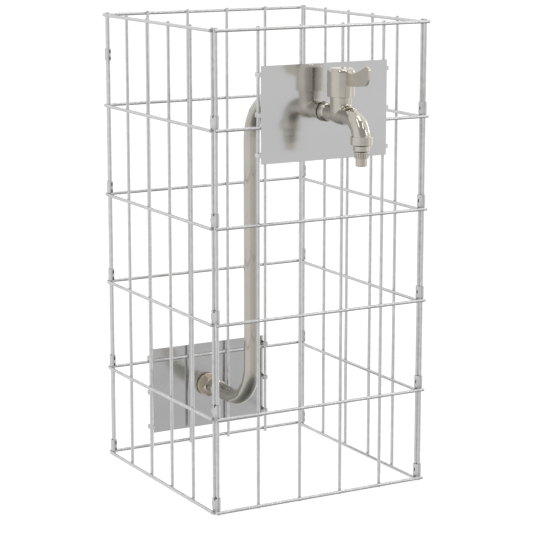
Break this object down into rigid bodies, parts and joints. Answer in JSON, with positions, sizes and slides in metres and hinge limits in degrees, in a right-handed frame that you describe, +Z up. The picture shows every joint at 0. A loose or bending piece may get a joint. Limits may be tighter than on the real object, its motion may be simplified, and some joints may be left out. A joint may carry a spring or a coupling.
{
  "type": "garden standpipe",
  "caption": "Free-standing garden standpipe: an open welded-wire cage for stones around a bent riser pipe, with sheet plates at the pipe's ends and a lever tap with a hose nozzle.",
  "frame": {"origin": "on the floor, under the middle of the whole outline", "axes": "+Z up, -Y towards the tap's spout and lever, +Y towards the water inlet, +X to the right seen from the front"},
  "size_m": [0.2602, 0.3726, 0.506],
  "materials": {
    "zinc_wire": "zinc-coated drawn wire",
    "clip_steel": "zinc-coated sheet",
    "plate_steel": "smooth stainless sheet",
    "pipe_steel": "bright drawn stainless tube",
    "satin_nickel": "nickel-plated brass casting",
    "valve_brass": "turned brass",
    "seal_rubber": "black sealing rubber",
    "disc_ceramic": "lapped ceramic"
  },
  "bodies": {
    "standpipe": {"front_panel": "zinc_wire", "back_panel": "zinc_wire", "left_panel": "zinc_wire", "right_panel": "zinc_wire", "front_left_clips": "clip_steel", "front_right_clips": "clip_steel", "back_left_clips": "clip_steel", "back_right_clips": "clip_steel", "front_plate": "plate_steel", "back_plate": "plate_steel", "riser_pipe": "pipe_steel", "tap_socket": "pipe_steel", "socket_gasket": "seal_rubber", "inlet_fitting": "pipe_steel", "inlet_gasket": "seal_rubber", "inlet_washer": "clip_steel", "inlet_lock_nut": "valve_brass", "wall_collar": "satin_nickel", "tap_body": "satin_nickel", "cartridge_body": "valve_brass", "head_seal": "seal_rubber", "seat_seal": "seal_rubber", "fixed_disc": "disc_ceramic", "hose_adapter": "satin_nickel", "outlet_washer": "seal_rubber", "grip_ring": "satin_nickel"},
    "handle": {"lever_handle": "satin_nickel", "grub_screw": "clip_steel", "spindle": "valve_brass", "spindle_rings": "seal_rubber", "moving_disc": "disc_ceramic"}
  },
  "joints": [
    {"name": "lever_turn", "type": "hinge", "parent": "standpipe", "child": "handle", "pos_m": [0.00022, -0.1333, 0.45], "axis": [0, 0, 1], "range_deg": [0, 90]}
  ]
}
